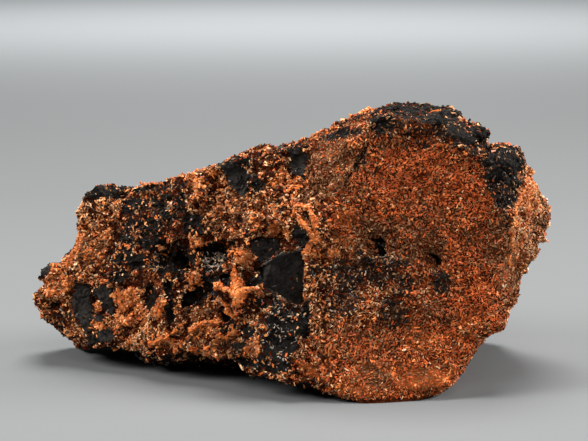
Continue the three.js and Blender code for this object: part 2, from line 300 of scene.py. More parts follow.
# %% Flat breaks of bare black rock
# name: corners as (column, row) clockwise, steepness to the right and down, rise in mm
FACETS = {
    "main": (
        ((260, 266), (279, 254), (298, 250), (306, 262), (304, 292), (300, 307), (257, 285)),
        0.15, 0.2, 1.0,
    ),
    "main_top": (((250, 241), (262, 236), (277, 237), (280, 252), (262, 263), (251, 255)), 0.2, -0.4, 0.9),
    "shoulder": (((290, 149), (300, 145), (306, 152), (304, 166), (301, 177), (291, 172)), 0.25, -0.35, 0.0),
    "upper": (((217, 163), (238, 160), (247, 174), (248, 193), (239, 195), (227, 181)), 0.2, -0.3, 0.0),
    "left_lobe": (
        ((76, 282), (86, 285), (90, 300), (92, 331), (85, 333), (73, 317), (70, 300)),
        -0.3, -0.1, 0.2,
    ),
    "right_lobe": (((92, 292), (103, 286), (111, 292), (114, 306), (112, 318), (105, 312)), 0.25, -0.2, 0.2),
    "left_sliver": (((86, 317), (97, 313), (106, 320), (97, 323)), 0.0, -0.4, 0.3),
    "left_foot": (((94, 332), (108, 328), (113, 333), (108, 343), (98, 342)), 0.1, -0.3, 0.2),
    "tail_nub": (((39, 272), (43, 265), (52, 265), (55, 270), (50, 277), (42, 278)), -0.2, -0.4, 0.3),
}
print("flat facets", len(FACETS))

# %% Noise and soft shapes
FRAY_LAYERS = ((2.4 * MM, 1.0, 11.0), (1.0 * MM, 0.6, 5.0))


def noise_at(points, size, seed):
    """Smooth noise from about -1 to 1 with waves of this size."""
    return np.array([noise.noise(Vector(p)) for p in points / size + seed])


def layered_noise(points, layers):
    """A sum of noises. Each layer has a wave size, a strength and a seed."""
    return sum(strength * noise_at(points, size, seed) for size, strength, seed in layers)


def smooth_step(low, high, value):
    """0 below low, 1 above high, and a soft slope between them."""
    share = np.clip((value - low) / (high - low), 0, 1)
    return share * share * (3 - 2 * share)


def within(reach, soft):
    """1 inside an edge that lies at a reach of 1, and 0 outside it."""
    return 1 - smooth_step(1 - soft, 1 + soft, reach)


def unit(vectors):
    """Each vector at a length of 1."""
    return vectors / np.linalg.norm(vectors, axis=1)[:, None]


def eye_facing(points, normals):
    """Cosine of the angle between each normal and the line to the eye."""
    to_eye = np.array(eye) - points
    return (to_eye * normals).sum(1) / np.linalg.norm(to_eye, axis=1)


lump_corner = np.array([cad_low])
print("fray at a corner of the box", np.round(layered_noise(lump_corner, FRAY_LAYERS), 2))


# %% Distances in the picture
def ellipse_reach(column, row, centre, half, turn):
    """0 at an ellipse's middle and 1 on its edge."""
    angle = math.radians(turn)
    across, down = column - centre[0], row - centre[1]
    along = (across * math.cos(angle) + down * math.sin(angle)) / half[0]
    aside = (down * math.cos(angle) - across * math.sin(angle)) / half[1]
    return np.hypot(along, aside)


def polygon_reach(column, row, corners):
    """Pixels outside a polygon with clockwise corners, and less than 0 inside it."""
    reach = np.full(len(column), -np.inf)
    for (x0, y0), (x1, y1) in zip(corners, corners[1:] + corners[:1]):
        aside = (column - x0) * (y1 - y0) - (row - y0) * (x1 - x0)
        reach = np.maximum(reach, aside / math.hypot(x1 - x0, y1 - y0))
    return reach


def path_reach(column, row, path, halves):
    """0 on a path and 1 at its edge. Its half width runs from the first to the second of halves."""
    reach = np.full(len(column), np.inf)
    for number, ((x0, y0), (x1, y1)) in enumerate(zip(path, path[1:])):
        square = (x1 - x0) ** 2 + (y1 - y0) ** 2
        along = np.clip(((column - x0) * (x1 - x0) + (row - y0) * (y1 - y0)) / square, 0, 1)
        half = halves[0] + (halves[1] - halves[0]) * (number + along) / (len(path) - 1)
        distance = np.hypot(column - x0 - along * (x1 - x0), row - y0 - along * (y1 - y0))
        reach = np.minimum(reach, distance / half)
    return reach


box_middle = np.array([(cad_low + cad_high) / 2])
print("the box's middle is seen at", [round(float(v[0])) for v in sight(box_middle)])

# %% Zones of any point
PATCH_SOFT = 0.3
PATCH_FRAY = 0.55
FACET_SOFT = 2.0
FACET_FRAY = 1.6
FACET_BLACK = 1.2
# Where the front's patches give way to the noise of the hidden sides.
WRAP_TURN = (-0.25, 0.1)
WRAP_DRIFT = 0.3
WRAP_SEED = 3.3
HIDDEN_PATCH = 12 * MM
HIDDEN_KINDS = KINDS[:5]
HIDDEN_SEED = 31.7
HIDDEN_FRAY = 0.35
HIDDEN_EDGE = (0.12, 0.35)
# The right end is peach above its foot, less so low down where the picture shows it: partly its own
# paler colour, partly painted light from the right on every face turned to the right.
RIGHT_TURN = (0.45, 0.7)
RIGHT_HEIGHT = (5 * MM, 12 * MM)
RIGHT_FADE_ROWS = (235, 275)
RIGHT_FADE = 0.7
# The underside is painted black as shade, apart from the part under the broad face.
UNDER_TURN = (0.4, 0.65)
UNDER_FADE_COLUMNS = (300, 360)
UNDER_PAINTED_SHADE = 0.95
BRIGHT_CLEARS = (0.75, 1.15)
BRIGHT_CLEARING = 0.85


def front_zones(column, row, fray, wrap):
    """Share of each kind of mineral from the named patches, painted light and shade among them."""
    shares = {kind: np.zeros(len(column)) for kind in (*KINDS, "sleek")}
    for kind, patches in FRONT_PATCHES.items():
        for centre, half, turn, strength in patches.values():
            reach = ellipse_reach(column, row, centre, half, turn) + PATCH_FRAY * fray
            shares[kind] = np.maximum(shares[kind], strength * within(reach, PATCH_SOFT) * wrap)
    for corners, _, _, _ in FACETS.values():
        reach = polygon_reach(column, row, corners) + FACET_FRAY * fray
        share = (1 - smooth_step(-FACET_SOFT, FACET_SOFT, reach)) * wrap
        shares["sleek"] = np.maximum(shares["sleek"], share)
    shares["black"] = np.maximum(shares["black"], FACET_BLACK * shares["sleek"])
    return shares


def mineral_zones(points, normals):
    """Share of each kind of mineral at each point, on all sides of the lump, with painted shade on the
    underside and painted light on the right side.
    """
    column, row = sight(points)
    fray = layered_noise(points, FRAY_LAYERS)
    drift = WRAP_DRIFT * noise_at(points, HIDDEN_PATCH, WRAP_SEED)
    wrap = smooth_step(*WRAP_TURN, eye_facing(points, normals) + drift)
    shares = front_zones(column, row, fray, wrap)
    for number, kind in enumerate(HIDDEN_KINDS):
        patchy = noise_at(points, HIDDEN_PATCH, HIDDEN_SEED * (number + 1)) + HIDDEN_FRAY * fray
        shares[kind] = np.maximum(shares[kind], smooth_step(*HIDDEN_EDGE, patchy) * (1 - wrap))
    # Painted light: faces turned to the right are made peach.
    right_side_light = smooth_step(*RIGHT_TURN, normals[:, 0]) * smooth_step(*RIGHT_HEIGHT, points[:, 2])
    right_side_light *= 1 - RIGHT_FADE * smooth_step(*RIGHT_FADE_ROWS, row) * wrap
    shares["peach"] = np.maximum(shares["peach"], right_side_light)
    # Painted shade: faces turned down are made black.
    shaded_underside = smooth_step(*UNDER_TURN, -normals[:, 2])
    shaded_underside *= 1 - smooth_step(*UNDER_FADE_COLUMNS, column) * wrap
    shares["black"] = np.maximum(shares["black"], UNDER_PAINTED_SHADE * shaded_underside)
    shares["black"] *= 1 - BRIGHT_CLEARING * smooth_step(*BRIGHT_CLEARS, shares["bright"])
    for kind in ("red", "brown", "peach"):
        shares[kind] *= 1 - np.clip(shares["black"], 0, 1)
    return shares


print("hidden sides use", HIDDEN_KINDS)

# %% [markdown]
# ## A finer copy of the lump
# The solid's triangles are about 2.5 mm wide, and a grain is less than 1 mm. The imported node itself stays
# as it is: a copy of its mesh is merged and cut finer with `subdivide_edges`. Black rock breaks in flat
# facets, so in its zones the corners are shaken a little before each cut, and the flat bits between them
# stay flat. Everywhere else `smooth_vert` softens the mesh until no edge of the solid is left.

# %% Facets, cuts and softening
MERGE_DISTANCE = 1e-6
FOOT_RISE = (0.2 * MM, 3 * MM)
FACET_SHAKES = (0.70 * MM, 0.38 * MM)
SLEEK_SHAKE = 0.35
SMOOTH_STEPS = 3
SMOOTHING = {"factor": 0.5, "use_axis_x": True, "use_axis_y": True, "use_axis_z": True}
SOFT_BELOW = 0.5
rng = np.random.default_rng(7)


def corner_arrays(bm):
    """Places and normals of a bmesh's corners."""
    bm.normal_update()
    return np.array([v.co for v in bm.verts]), np.array([v.normal for v in bm.verts])


def shake_black(bm, size):
    """Moves the corners of the black zones in or out at random."""
    points, normals = corner_arrays(bm)
    shares = mineral_zones(points, normals)
    hard = np.clip(shares["black"], 0, 1) * (1 - (1 - SLEEK_SHAKE) * shares["sleek"])
    hard *= smooth_step(*FOOT_RISE, points[:, 2])
    moves = normals * (size * hard * rng.uniform(-1, 1, len(points)))[:, None]
    for vert, move in zip(bm.verts, moves):
        vert.co += Vector(move)


def cut_finer(bm, edges):
    """Cuts each of these edges once and keeps the mesh in triangles."""
    bmesh.ops.subdivide_edges(bm, edges=edges, cuts=1, use_grid_fill=True)
    bmesh.ops.triangulate(bm, faces=[f for f in bm.faces if len(f.verts) > 3])


rock_bm = bmesh.new()
rock_bm.from_mesh(lump.data)
bmesh.ops.remove_doubles(rock_bm, verts=rock_bm.verts, dist=MERGE_DISTANCE)
for size in FACET_SHAKES:
    shake_black(rock_bm, size)
    cut_finer(rock_bm, rock_bm.edges[:])
points, normals = corner_arrays(rock_bm)
soft = (mineral_zones(points, normals)["black"] < SOFT_BELOW) & (points[:, 2] > FOOT_RISE[0])
soft_verts = [v for v, is_soft in zip(rock_bm.verts, soft) if is_soft]
for _ in range(SMOOTH_STEPS):
    bmesh.ops.smooth_vert(rock_bm, verts=soft_verts, **SMOOTHING)
print("rock", len(rock_bm.faces), "triangles,", len(soft_verts), "of", len(rock_bm.verts), "corners softened")

# %% [markdown]
# A few windows of the front are cut once more, because their pits, veins and ridges are the sharpest forms
# of the lump. Then the copy becomes a mesh, and its places and normals become arrays for the next steps.

# %% Fine windows
FINE_FACING = 0.15
# name: left, top, right and bottom edge in the picture
FINE_WINDOWS = {
    "holes_and_veins": (155, 240, 310, 322),
    "left_patch": (70, 295, 112, 320),
    "lip": (366, 234, 444, 266),
    "rim": (292, 200, 324, 254),
}


def in_fine_window(points, normals):
    """True for points that face the eye inside one of the fine windows."""
    column, row = sight(points)
    inside = np.zeros(len(points), bool)
    for left, top, right, bottom in FINE_WINDOWS.values():
        inside |= (column > left) & (column < right) & (row > top) & (row < bottom)
    return inside & (eye_facing(points, normals) > FINE_FACING)


def read_vectors(collection, name):
    """A mesh collection's vectors as an array."""
    values = np.empty(len(collection) * 3, np.float32)
    collection.foreach_get(name, values)
    return values.reshape(-1, 3).astype(float)


rock_bm.normal_update()
middles = np.array([f.calc_center_median() for f in rock_bm.faces])
fine = in_fine_window(middles, np.array([f.normal for f in rock_bm.faces]))
fine_faces = [f for f, inside in zip(rock_bm.faces[:], fine) if inside]
cut_finer(rock_bm, list({e for f in fine_faces for e in f.edges}))
rock_mesh = bpy.data.meshes.new("realgar_rock")
rock_bm.to_mesh(rock_mesh)
rock_bm.free()
rock_points = read_vectors(rock_mesh.vertices, "co")
rock_normals = read_vectors(rock_mesh.vertex_normals, "vector")
rock_count = len(rock_points)
zones = mineral_zones(rock_points, rock_normals)
print("rock", len(rock_mesh.polygons), "triangles, black share", round(float(zones["black"].mean()), 2))

# %% What the camera sees of the fine copy
FRONT_TURN = (0.02, 0.2)
RELIEF_TURN = (-0.45, -0.15)
# The broad face lies right of these columns, and its edge leans above this row.
BROAD_COLUMNS = (318, 350)
BROAD_ROW = 215
BROAD_SLOPE = 0.3
column, row = sight(rock_points)
facing = eye_facing(rock_points, rock_normals)
front = smooth_step(*FRONT_TURN, facing)
wrap = smooth_step(*RELIEF_TURN, facing)
leaning = BROAD_SLOPE * (row - BROAD_ROW) * (row < BROAD_ROW)
broad_face = smooth_step(*BROAD_COLUMNS, column - leaning) * front
fray = layered_noise(rock_points, FRAY_LAYERS)
print("front share", round(float(front.mean()), 2), "broad share", round(float(broad_face.mean()), 2))

# %% [markdown]
# ## Broken relief
# Broken rock is made of chips: flat bits that meet in sharp little steps. A Voronoi cell stands for each
# chip, and every cell gets a height and a tilt of its own. Deep pits, raised veins and the thin rim are
# named, as the patches are. All of it moves the mesh along its normals, because the shadow in a real pit
# can't come from colour or bump. The deepest pits and the cracks also get painted shade, in black. Only the
# flat facets are set along the line of sight, one plane each.

# %% Pits, lumps and veins of the front
# name: (column, row), (half width, half height), turn in degrees, rise in mm
FRONT_RELIEF = {
    "left_hole": ((164, 257), (5, 6), 0, -2.2),
    "second_hole": ((182, 258), (5, 8), 20, -1.6),
    "second_hole_low": ((186, 266), (4, 5), 0, -1.4),
    "middle_hole": ((204, 251), (9, 4), 10, -1.6),
    "middle_hole_right": ((219, 252), (7, 4), -20, -1.8),
    "low_hole": ((193, 299), (8, 6), -25, -1.7),
    "low_hole_left": ((187, 304), (5, 4), 0, -1.4),
    "stroke_hole": ((169, 306), (4, 20), 0, -1.4),
    "vein_hole": ((256, 280), (11, 6), 15, -2.8),
    "vein_left_hole": ((222, 279), (7, 6), 0, -1.8),
    "vein_low_hole": ((225, 318), (8, 4), 30, -1.8),
    "rim_hole": ((306, 221), (5, 5), 0, -2.2),
    "tail_hole": ((52, 305), (5, 6), 0, -1.8),
    "strip_pit": ((524, 216), (4, 4), 0, -1.2),
    "corner_notch": ((489, 148), (7, 9), 20, -1.6),
    "left_flat": ((92, 305), (19, 23), 0, -0.7),
    "left_knob": ((97, 307), (5, 6), 0, 1.0),
    "shoulder_flat": ((300, 160), (10, 15), 5, -0.9),
    "upper_flat": ((234, 176), (13, 19), -25, -0.8),
    "upper_lump": ((196, 190), (9, 11), -20, 0.8),
    "middle_lump": ((196, 239), (9, 10), 10, 1.0),
    "flame": ((160, 307), (5, 15), 10, 1.2),
    "right_block": ((464, 131), (24, 14), 30, 0.9),
    "corner_block": ((507, 166), (15, 23), 0, 1.0),
    "tail_nub": ((48, 271), (10, 8), 0, 1.8),
    "right_bulge": ((545, 222), (9, 25), 0, 1.6),
    "right_bulge_low": ((532, 262), (8, 17), 10, 1.4),
    "tail_bulge": ((42, 309), (10, 17), 0, 1.9),
    "shoulder_top": ((318, 134), (15, 6), -15, -0.8),
    "notch": ((242, 362), (8, 5), 0, -1.6),
    "strip_top": ((533, 182), (8, 12), 0, 0.9),
    "middle_knob": ((195, 279), (7, 7), 0, 0.9),
    "vein_lumps": ((248, 261), (8, 9), 0, 1.1),
    "low_edge_left": ((112, 353), (28, 8), 0, -1.5),
    "block_edge": ((478, 124), (10, 5), 20, -0.8),
    "star_leg": ((243, 307), (5, 8), 10, 1.3),
    "upper_edge": ((228, 163), (15, 6), -12, 0.6),
    "low_right_edge": ((503, 313), (8, 15), 25, 0.9),
    "block_step": ((458, 111), (9, 6), 10, 0.8),
    "block_step_right": ((481, 131), (8, 7), 30, 1.0),
    "block_step_gap": ((469, 120), (5, 6), -40, -0.7),
}
# name: columns and rows along the vein, half widths in pixels at its ends, rise in mm
VEINS = {
    "star_body": (((237, 286), (239, 292), (241, 301)), (5.5, 4.5), 2.2),
    "top_lumps": (((240, 251), (247, 260), (251, 268)), (4.0, 3.0), 1.3),
    "star_left": (((239, 293), (228, 291), (217, 287)), (4.5, 1.0), 1.8),
    "star_top": (((238, 289), (235, 280), (233, 269)), (3.5, 1.4), 1.8),
    "star_right": (((240, 292), (250, 291), (260, 289)), (4.0, 0.8), 1.8),
    "star_strand": (((220, 300), (229, 309), (239, 320)), (1.2, 1.6), 1.2),
    "rim_left": (((303, 206), (297, 212), (300, 220), (308, 228), (316, 242)), (2.0, 2.6), 1.5),
    "rim_right": (((303, 206), (311, 209), (313, 222), (317, 233), (306, 252)), (1.8, 3.0), 1.2),
    "strip_edge": (((528, 166), (525, 190), (517, 208), (513, 236), (511, 264)), (1.0, 1.0), 0.6),
    "low_rib": (((190, 330), (206, 322), (222, 322)), (2.8, 1.4), 1.2),
    "low_rib_right": (((205, 350), (222, 338), (240, 332)), (2.8, 1.4), 1.2),
    "low_rib_left": (((150, 345), (172, 334), (186, 322)), (2.8, 1.4), 1.0),
}
# name: columns and rows along the ledge of bare rock, half widths in pixels, rise in mm
# Each ledge is also painted lighter grey, a painted highlight.
LEDGES = {
    "facet_ledge": (((261, 265), (279, 254), (300, 249)), (2.0, 2.0), 0.8),
    "facet_edge": (((257, 287), (271, 293), (285, 300), (302, 310)), (2.2, 1.8), 0.9),
}
# name: columns and rows along the crack, half widths in pixels, depth in mm
CRACKS = {
    "face_crack": (((374, 241), (380, 239), (392, 246), (406, 250)), (1.0, 1.6), 1.0),
    "lip": (((373, 241), (379, 244), (382, 251)), (2.0, 3.0), 1.7),
    "lip_edge": (((380, 240), (388, 244), (391, 249)), (2.4, 1.4), 1.4),
    "face_hole": (((398, 247), (405, 249), (410, 249)), (1.8, 1.4), 1.4),
    "right_hole": (((431, 255), (436, 258), (438, 263)), (1.6, 2.6), 1.8),
    "right_crack": (((424, 251), (436, 258), (449, 263)), (1.2, 1.2), 0.7),
    "ridge_crack": (((366, 148), (356, 166), (344, 184)), (1.6, 1.0), 0.6),
}
print("pits and lumps", len(FRONT_RELIEF), "veins", len(VEINS), "ledges", len(LEDGES), "cracks", len(CRACKS))

# %% Set the flat facets
FACET_REACH = (6 * MM, 8 * MM)
FACET_EDGE = (-0.5, 2.0)
FACET_EDGE_FRAY = 0.5
depth = (rock_points - np.array(eye)) @ np.array(eye_forward)
pixel = depth * SENSOR_MM / (LENS_MM * PICTURE[0])
sunk = np.zeros(rock_count)
for corners, right, down, rise in FACETS.values():
    reach = polygon_reach(column, row, corners)
    inside = (reach < 0) & (front > 0.5)
    middle_column, middle_row = column[inside].mean(), row[inside].mean()
    slope = (right * (column - middle_column) + down * (row - middle_row)) * pixel
    move = np.median(depth[inside]) + slope - rise * MM - depth - sunk
    near = 1 - smooth_step(*FACET_REACH, np.abs(move))
    sunk += move * near * (1 - smooth_step(*FACET_EDGE, reach + FACET_EDGE_FRAY * fray)) * front
print("facets move the rock from", round(sunk.min() / MM, 1), "to", round(sunk.max() / MM, 1), "mm")

# %% Raise and sink the named forms
RELIEF_SOFT = 0.5
RELIEF_FRAY = 0.6
LEDGE_FRAY = 0.3
CRACK_FRAY = 0.6
VEIN_FRAY = 0.4
# Pits that sink more than this, and all cracks, are also painted black: painted shade.
PIT_FROM = -1.3
PIT_SHADE_STRENGTH = 0.8
VEIN_CLEARING = 0.95
named_rise = np.zeros(rock_count)
pit_shade_share = np.zeros(rock_count)
vein_share = np.zeros(rock_count)
ledge_highlight_share = np.zeros(rock_count)


def path_share(path, halves, path_fray):
    """1 on a path of the front and 0 beside it."""
    return within(path_reach(column, row, path, halves) + path_fray * fray, RELIEF_SOFT) * front


for centre, half, turn, rise in FRONT_RELIEF.values():
    reach = ellipse_reach(column, row, centre, half, turn) + RELIEF_FRAY * fray
    share = within(reach, RELIEF_SOFT) * wrap
    named_rise += rise * MM * share
    if rise < PIT_FROM:
        pit_shade_share = np.maximum(pit_shade_share, PIT_SHADE_STRENGTH * share)
for path, halves, rise in LEDGES.values():
    share = path_share(path, halves, LEDGE_FRAY)
    named_rise += rise * MM * share
    ledge_highlight_share = np.maximum(ledge_highlight_share, share)
for path, halves, crack_depth in CRACKS.values():
    share = path_share(path, halves, CRACK_FRAY)
    named_rise -= crack_depth * MM * share
    pit_shade_share = np.maximum(pit_shade_share, PIT_SHADE_STRENGTH * share)
for path, halves, rise in VEINS.values():
    share = path_share(path, halves, VEIN_FRAY)
    named_rise = np.maximum(named_rise, named_rise * (1 - share) + rise * MM * share)
    vein_share = np.maximum(vein_share, share)
zones["black"] *= 1 - VEIN_CLEARING * vein_share
print("named forms from", round(named_rise.min() / MM, 1), "to", round(named_rise.max() / MM, 1), "mm")

# %% Chips and grain-sized roughness
# Each layer: size, height or strength, seed
CHIP_LAYERS = ((6.5 * MM, 0.75 * MM, 3.0), (3.0 * MM, 0.45 * MM, 17.0))
ROUGH_LAYERS = ((2.2 * MM, 0.35 * MM, 41.0), (1.1 * MM, 0.22 * MM, 57.0))
MOTTLE_LAYERS = ((3.2 * MM, 0.8, 71.0), (1.2 * MM, 0.9, 83.0))
CHIP_STEP = 0.6
CHIP_TILT = 0.9
CHIP_LEANS = (41, 67, 89)
HASH_WEIGHTS = np.array([12.9898, 78.233, 37.719])
HASH_SCALE = 43758.5453
BLACK_CALM = 0.3
SLEEK_CALM = 0.4
BROAD_CALM = 0.5


def chip_heights(points, size, seed):
    """Height from about -1 to 1 of the flat, tilted chip that each point belongs to."""
    nearest = np.array([noise.voronoi(Vector(p))[1][0] for p in points / size + seed])
    hashed = np.sin(nearest @ HASH_WEIGHTS) * HASH_SCALE
    step = hashed - np.floor(hashed)
    lean = np.stack([np.sin(wave * step + turn) for turn, wave in enumerate(CHIP_LEANS)], 1)
    tilt = ((points / size + seed - nearest) * lean).sum(1)
    return CHIP_STEP * (2 * step - 1) + CHIP_TILT * tilt


rough = sum(height * chip_heights(rock_points, size, seed) for size, height, seed in CHIP_LAYERS)
rough += layered_noise(rock_points, ROUGH_LAYERS)
mottle = layered_noise(rock_points, MOTTLE_LAYERS)
rock_black = np.clip(zones["black"], 0, 1)
calm = (1 - (1 - BLACK_CALM) * rock_black) * (1 - (1 - SLEEK_CALM) * zones["sleek"])
calm *= 1 - (1 - BROAD_CALM) * broad_face * (1 - rock_black)
print("roughness from", round(rough.min() / MM, 2), "to", round(rough.max() / MM, 2), "mm")

# %% Move the rock
SINK = 0.35 * MM
EDGE_SINK = 0.5 * MM
EDGE_TURN = (0.15, 0.5)
MOTTLE_RISE = 0.65 * MM
MOTTLE_TURN = (0.2, 0.6)
MOTTLE_LEAST = 0.5
turned_to_eye = MOTTLE_LEAST + (1 - MOTTLE_LEAST) * smooth_step(*MOTTLE_TURN, facing)
mottled_rise = -MOTTLE_RISE * mottle * turned_to_eye * (1 - broad_face) * (1 - rock_black)
lift = smooth_step(*FOOT_RISE, rock_points[:, 2])
edge = 1 - smooth_step(*EDGE_TURN, np.abs(facing))
whole_rise = (rough * calm + mottled_rise + named_rise - SINK - EDGE_SINK * edge) * lift
rock_points += rock_normals * whole_rise[:, None] + np.array(eye_forward) * (sunk * lift)[:, None]
rock_points[:, 2] = np.maximum(rock_points[:, 2], 0)
rock_mesh.vertices.foreach_set("co", rock_points.astype(np.float32).ravel())
rock_mesh.update()
print("relief from", round(whole_rise.min() / MM, 2), "to", round(whole_rise.max() / MM, 2), "mm")

# %% Keep the masks on the mesh
SMOOTH_FROM = 0.9
rock_masks = {kind: zones[kind] for kind in ("bright", "black", "sleek")}
rock_masks |= {"ledge_highlight": ledge_highlight_share, "pit_shade": pit_shade_share, "vein": vein_share}
for name, values in rock_masks.items():
    layer = rock_mesh.attributes.new(name, "FLOAT", "POINT")
    layer.data.foreach_set("value", values.astype(np.float32))
rock = bpy.data.objects.new("realgar_rock", rock_mesh)
bpy.context.scene.collection.objects.link(rock)
rock_triangles = np.empty(len(rock_mesh.loops), np.int32)
rock_mesh.loops.foreach_get("vertex_index", rock_triangles)
rock_triangles = rock_triangles.reshape(-1, 3)
rock_mesh.shade_flat()
rock_mesh.polygons.foreach_set("use_smooth", zones["sleek"][rock_triangles].mean(1) > SMOOTH_FROM)
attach(rock, "root")
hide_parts("realgar_lump")
print("rock keeps", list(rock_masks))

# %% [markdown]
# An export bakes the finishes, so the rock needs a UV map of its own. A smart unwrap of so many rough
# triangles is slow. Six flat views, from both ends of each axis, are enough: each triangle goes to the view
# that it faces.

# %% A map of six views
VIEW_EDGE = 0.02
VIEW_TILES = (3, 2)
FLAT_AXES = np.array([(1, 2), (0, 2), (0, 1)])
face_points = rock_points[rock_triangles]
face_out = np.cross(face_points[:, 1] - face_points[:, 0], face_points[:, 2] - face_points[:, 0])
axis = np.abs(face_out).argmax(1)
view = 2 * axis + (np.take_along_axis(face_out, axis[:, None], 1)[:, 0] > 0)
box_share = (face_points - rock_points.min(0)) / np.ptp(rock_points, axis=0)
flat = np.take_along_axis(box_share, FLAT_AXES[axis][:, None, :].repeat(3, 1), 2)
tile = np.column_stack([view % VIEW_TILES[0], view // VIEW_TILES[0]])[:, None, :]
flat = (tile + VIEW_EDGE + (1 - 2 * VIEW_EDGE) * flat) / VIEW_TILES
rock_map = rock_mesh.uv_layers.new(name="OFBake")
rock_map.uv.foreach_set("vector", flat.astype(np.float32).ravel())
print("triangles in each view", np.bincount(view).tolist())

# %% [markdown]
# ## Grains
# The look of the lump comes from tens of thousands of little crystals that catch the light one by one.
# A particle system would scatter them, but particles are lost in an export, so the grains are joined meshes.
# A grain is a small tapered block or splinter from `create_cone`. Arrays place copies of it on random points
# of the rock, each with its own size, turn and dents, and one mesh holds all the grains of a colour.

# %% Grain shapes
GRAIN_RADIUS = 0.6


def grain_shape(sides, taper):
    """Corners and triangles of one grain: a tapered prism of unit length."""
    bm = bmesh.new()
    top_radius = GRAIN_RADIUS * taper
    bmesh.ops.create_cone(
        bm, cap_ends=True, segments=sides, radius1=GRAIN_RADIUS, radius2=top_radius, depth=1.0)
    bmesh.ops.triangulate(bm, faces=bm.faces[:])
    corners = np.array([v.co for v in bm.verts])
    triangles = np.array([[v.index for v in f.verts] for f in bm.faces])
    bm.free()
    return corners, triangles


GRAIN_SHAPES = (grain_shape(sides=4, taper=0.7), grain_shape(sides=3, taper=0.6))
print("grain triangles", [len(triangles) for _, triangles in GRAIN_SHAPES])

# %% [markdown]
# Points that are only random lie in heaps and leave holes. Here many random tries fall on the rock, and each
# little cube of space keeps one of them. The cubes are smaller in front, where the grains are finest.

# %% Points for the grains
RUGGED_GAP = 0.44 * MM
BROAD_GAP = 0.41 * MM
HIDDEN_GAP = 0.72 * MM
TRIES = 520_000
FRONT_TRIES = 4
LOWEST_GRAIN = 0.8 * MM
area = np.linalg.norm(face_out, axis=1) / 2
odds = area * (1 + FRONT_TRIES * front[rock_triangles].mean(1))
chosen = rng.choice(len(rock_triangles), TRIES, p=odds / odds.sum())
u, v = rng.random((2, TRIES))
flip = u + v > 1
u, v = np.where(flip, 1 - u, u), np.where(flip, 1 - v, v)
weights = np.stack([1 - u - v, u, v], 1)
spots = (face_points[chosen] * weights[:, :, None]).sum(1)


def at_spots(values):
    """A value of the rock's corners, read at the grains' points."""
    return (values[rock_triangles[chosen]] * weights).sum(1)


gap = np.select([at_spots(broad_face) > 0.5, at_spots(front) > 0.5], [BROAD_GAP, RUGGED_GAP], HIDDEN_GAP)
cubes = np.column_stack([np.floor(spots / gap[:, None]), gap])
kept = np.unique(cubes, axis=0, return_index=True)[1]
kept = kept[spots[kept, 2] > LOWEST_GRAIN]
spots, chosen, weights = spots[kept], chosen[kept], weights[kept]
out = unit(face_out[chosen])
print("surface", round(area.sum() / MM**2), "square mm,", len(spots), "points for grains")

# %% [markdown]
# A grain's colour is a matter of chance, as on the real lump, where single bright grains lie in dark fields.
# A zone in one colour would look flat. So every colour has a weight at every point, raised by the zones and
# by the gaps of the mottle, where dark grains are painted shade, and a random number picks one. Some points
# stay bare.

# %% Colours of the grains
# Peach grains are partly the lump's own tan grains and partly painted highlights. Umber grains, dark
# red-brown, are partly painted shade between the grains.
PALETTE = {
    "orange": ((0.62, 0.175, 0.040), (0.52, 0.13, 0.027), (0.68, 0.26, 0.085)),
    "red": ((0.46, 0.090, 0.021), (0.38, 0.068, 0.016), (0.49, 0.118, 0.031)),
    "brown": ((0.18, 0.074, 0.030), (0.115, 0.044, 0.018), (0.26, 0.124, 0.060)),
    "peach": ((0.72, 0.36, 0.16), (0.62, 0.28, 0.105), (0.74, 0.46, 0.26)),
    "black": ((0.008, 0.006, 0.0045), (0.013, 0.010, 0.0075), (0.028, 0.023, 0.019)),
    "pale": ((0.40, 0.32, 0.25), (0.20, 0.18, 0.165), (0.28, 0.24, 0.21), (0.58, 0.38, 0.23)),
    "umber": ((0.14, 0.020, 0.004), (0.085, 0.012, 0.003), (0.17, 0.029, 0.006)),
}
GRAIN_NAMES = list(PALETTE)
CONTRAST = 5.6
BROAD_CONTRAST_LOSS = 4.0
CLOUD_WAVE = 5.5 * MM
CLOUD_SEED = 97.0
CLOUD_STRENGTH = 0.8
ZONE_MOST = 1.2
spot_front = at_spots(front)
spot_broad = at_spots(broad_face)
spot_mottle = at_spots(mottle)
spot_zones = {kind: np.clip(at_spots(zones[kind]), 0, ZONE_MOST) for kind in KINDS}
vivid = np.maximum(spot_zones["bright"], at_spots(vein_share))
contrast = CONTRAST - BROAD_CONTRAST_LOSS * spot_broad
cloud = np.exp(CLOUD_STRENGTH * at_spots(noise_at(rock_points, CLOUD_WAVE, CLOUD_SEED)) * spot_broad)


def hollow_shade_pull(strength):
    """Gathers a colour in the gaps of the mottle, the hollows off the broad face, or away from them where
    strength is below 0. Dark grains gathered there are painted shade.
    """
    return np.exp(strength * contrast * spot_mottle)


fields = {"front": spot_front, "broad": spot_broad, "vivid": vivid, "broad_vivid": vivid * spot_broad}
fields |= spot_zones


def weight(everywhere, **more):
    """A colour's weight: the same everywhere, and more or less where each named field is full."""
    return sum((share * fields[name] for name, share in more.items()), everywhere)


peach_fields = {"front": 0.18, "broad": -0.15, "peach": 1.9, "vivid": 0.7, "broad_vivid": -0.3, "red": 0.15}
chance = {
    "orange": weight(0.12, vivid=2.6, broad_vivid=-1.04, red=0.2) * hollow_shade_pull(-0.7) * cloud,
    "red": weight(0.14, broad=0.42, red=4.2, vivid=0.5) * hollow_shade_pull(-0.4) * cloud,
    "brown": weight(0.70, broad=0.3) / cloud + weight(0, brown=3.8),
    "peach": weight(0.14, **peach_fields) * hollow_shade_pull(-0.5),
    "black": weight(0.14, broad=-0.13) * hollow_shade_pull(1.0) / cloud,
    "pale": weight(0.012, broad=-0.008, pale=1.5),
    "umber": weight(0.44, broad=-0.16) * hollow_shade_pull(1.0) / cloud,
}
print("mean weights", {name: round(float(weight.mean()), 2) for name, weight in chance.items()})

